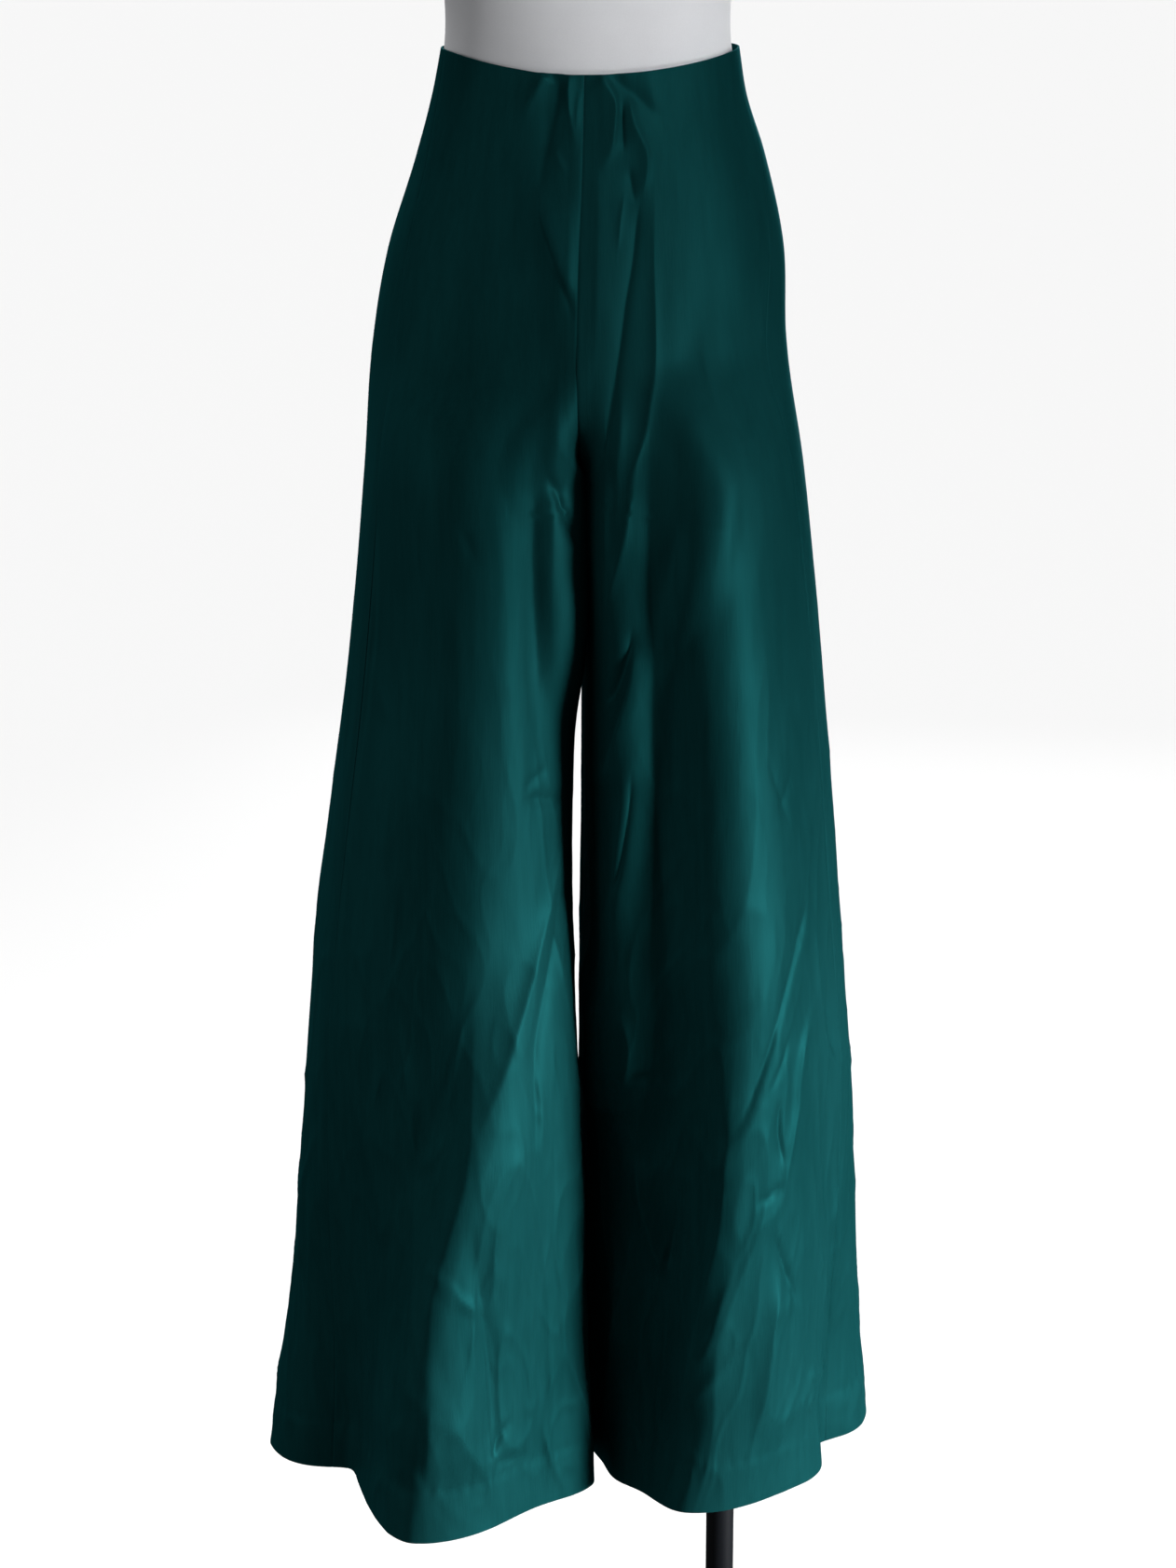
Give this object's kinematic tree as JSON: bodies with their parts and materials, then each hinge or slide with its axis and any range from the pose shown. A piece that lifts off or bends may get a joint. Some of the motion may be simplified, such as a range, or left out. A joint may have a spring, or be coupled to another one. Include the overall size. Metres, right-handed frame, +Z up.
{
  "type": "high-waisted wide-leg trousers on a limbless dress form",
  "caption": "High-waisted trousers with wide flaring legs, smooth fitted waist and hips and turned-up hems, hung on a plain limbless dress form with an offset pole and a round base.",
  "frame": {"origin": "centre of the base plate's underside, on the floor", "axes": "+Z up, -Y to the wearer's front, +X to the wearer's left"},
  "size_m": [0.472, 0.33, 1.8203],
  "materials": {
    "satin": "deep teal satin, glossy face",
    "zip_enamel": "enamelled to match the cloth",
    "form_cover": "white jersey stretched over the form",
    "cap": "plain white",
    "stand_enamel": "black, satin"
  },
  "bodies": {
    "trousers_on_form": {"front_right": "satin", "front_left": "satin", "back_right": "satin", "back_left": "satin", "zip_slider": "zip_enamel", "dress_form": "form_cover", "neck_cap": "cap", "form_flange": "stand_enamel", "pole": "stand_enamel", "pole_socket": "stand_enamel", "base_plate": "stand_enamel"},
    "zip_pull": {"zip_pull": "zip_enamel"}
  },
  "joints": [
    {"name": "zip_pull_swing", "type": "hinge", "parent": "trousers_on_form", "child": "zip_pull", "pos_m": [-0.0117, 0.08747, 1.3223], "axis": [0.9957, 0.0927, 0], "range_deg": [0, 150]}
  ]
}
